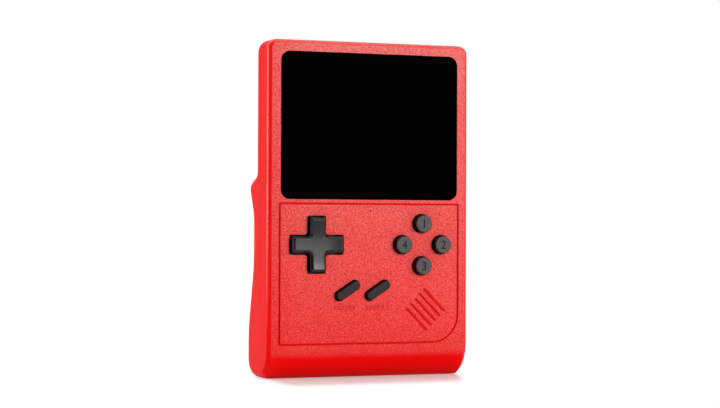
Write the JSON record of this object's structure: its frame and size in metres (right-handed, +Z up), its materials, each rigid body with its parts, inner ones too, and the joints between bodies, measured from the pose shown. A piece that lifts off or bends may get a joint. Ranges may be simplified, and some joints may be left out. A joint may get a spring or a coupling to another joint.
{
  "type": "handheld game console",
  "caption": "Upright handheld game console with a window above a rocker, round keys, pill keys and a slotted speaker, and a rear grip with shoulder keys and a battery door.",
  "frame": {"origin": "on the flat under the base, midway between the sides and midway in depth between the rocker's top and the grip's back", "axes": "+X to the right as seen from the front, +Y from the front to the back, +Z up"},
  "size_m": [0.0736, 0.0252, 0.1128],
  "materials": {
    "shell_red": "fine moulded grain on the face, satin sides",
    "lens_black": "polished",
    "adhesive": "tacky film",
    "foam": "open foam",
    "display_glass": "polished",
    "light_guide": "white tray",
    "polyimide": "film",
    "socket_plastic": "moulded",
    "board_laminate": "solder mask",
    "chip_resin": "moulded",
    "steel": "plated",
    "ceramic_part": "fired",
    "led_resin": "clear",
    "port_plastic": "moulded",
    "card_plastic": "moulded",
    "key_black": "semi-gloss",
    "key_grey": "satin",
    "pivot_white": "polished",
    "silicone": "translucent silicone",
    "paper_cone": "film",
    "felt": "pressed felt",
    "wire": "insulated wire",
    "battery_can": "plain wrapped can",
    "contact_gold": "plated"
  },
  "bodies": {
    "housing": {"front_shell": "shell_red", "rear_shell": "shell_red", "screen_lens": "lens_black", "lens_tape": "adhesive", "lcd_gasket": "foam", "lcd_pad": "foam", "lcd_panel": "display_glass", "lcd_backlight": "light_guide", "lcd_ribbon": "polyimide", "ribbon_socket": "socket_plastic", "contact_block": "socket_plastic", "main_board": "board_laminate", "shoulder_boards": "board_laminate", "processor_chip": "chip_resin", "memory_chips": "chip_resin", "crystal": "steel", "usb_socket": "steel", "card_socket": "steel", "power_switch": "steel", "shoulder_switches": "steel", "speaker_frame": "steel", "case_screws": "steel", "board_screws": "steel", "board_capacitors": "ceramic_part", "status_led": "led_resin", "av_jack": "port_plastic", "volume_control": "port_plastic", "rocker_membrane": "silicone", "key_membrane": "silicone", "pill_membrane": "silicone", "speaker_cone": "paper_cone", "speaker_felt": "felt", "speaker_leads": "wire", "battery": "battery_can", "battery_contacts": "contact_gold"},
    "rocker": {"rocker": "key_black"},
    "rocker_pivot": {"rocker_pivot": "pivot_white"},
    "key_top": {"key_top": "key_grey"},
    "key_right": {"key_right": "key_grey"},
    "key_bottom": {"key_bottom": "key_grey"},
    "key_left": {"key_left": "key_grey"},
    "select_key": {"select_key": "key_black"},
    "start_key": {"start_key": "key_black"},
    "left_shoulder_key": {"left_shoulder_key": "key_black"},
    "right_shoulder_key": {"right_shoulder_key": "key_black"},
    "power_slider": {"power_slider": "key_black"},
    "volume_wheel": {"volume_wheel": "key_black"},
    "battery_door": {"battery_door": "shell_red"},
    "memory_card": {"memory_card": "card_plastic"}
  },
  "joints": [
    {"name": "rocker_up_down", "type": "hinge", "parent": "housing", "child": "rocker_pivot", "pos_m": [-0.0193, -0.00613, 0.0446], "axis": [1, 0, 0], "range_deg": [-5, 5], "stiffness_Nm_per_rad": 0.12, "deforming": ["rocker_membrane"]},
    {"name": "rocker_left_right", "type": "hinge", "parent": "rocker_pivot", "child": "rocker", "pos_m": [-0.0193, -0.00613, 0.0446], "axis": [0, 0, 1], "range_deg": [-5, 5], "stiffness_Nm_per_rad": 0.12, "deforming": ["rocker_membrane"]},
    {"name": "key_top_press", "type": "slide", "parent": "housing", "child": "key_top", "axis": [0, 1, 0], "range_m": [0, 0.001], "stiffness_N_per_m": 800, "deforming": ["key_membrane"]},
    {"name": "key_right_press", "type": "slide", "parent": "housing", "child": "key_right", "axis": [0, 1, 0], "range_m": [0, 0.001], "stiffness_N_per_m": 800, "deforming": ["key_membrane"]},
    {"name": "key_bottom_press", "type": "slide", "parent": "housing", "child": "key_bottom", "axis": [0, 1, 0], "range_m": [0, 0.001], "stiffness_N_per_m": 800, "deforming": ["key_membrane"]},
    {"name": "key_left_press", "type": "slide", "parent": "housing", "child": "key_left", "axis": [0, 1, 0], "range_m": [0, 0.001], "stiffness_N_per_m": 800, "deforming": ["key_membrane"]},
    {"name": "select_press", "type": "slide", "parent": "housing", "child": "select_key", "axis": [0, 1, 0], "range_m": [0, 0.001], "stiffness_N_per_m": 800, "deforming": ["pill_membrane"]},
    {"name": "start_press", "type": "slide", "parent": "housing", "child": "start_key", "axis": [0, 1, 0], "range_m": [0, 0.001], "stiffness_N_per_m": 800, "deforming": ["pill_membrane"]},
    {"name": "left_shoulder_press", "type": "slide", "parent": "housing", "child": "left_shoulder_key", "axis": [0, -0.3972, -0.9178], "range_m": [0, 0.0008], "stiffness_N_per_m": 800},
    {"name": "right_shoulder_press", "type": "slide", "parent": "housing", "child": "right_shoulder_key", "axis": [0, -0.3972, -0.9178], "range_m": [0, 0.0008], "stiffness_N_per_m": 800},
    {"name": "power_slide", "type": "slide", "parent": "housing", "child": "power_slider", "axis": [0, 0, 1], "range_m": [0, 0.003]},
    {"name": "volume_turn", "type": "hinge", "parent": "housing", "child": "volume_wheel", "pos_m": [0.0294, -0.00003, 0.095], "axis": [0, 1, 0], "range_deg": [-135, 135]},
    {"name": "door_swing", "type": "hinge", "parent": "housing", "child": "battery_door", "pos_m": [0, 0.01263, 0.0131], "axis": [-1, 0, 0], "range_deg": [0, 70]},
    {"name": "card_slide", "type": "slide", "parent": "housing", "child": "memory_card", "axis": [0, 0, 1], "range_m": [0, 0.014]}
  ]
}
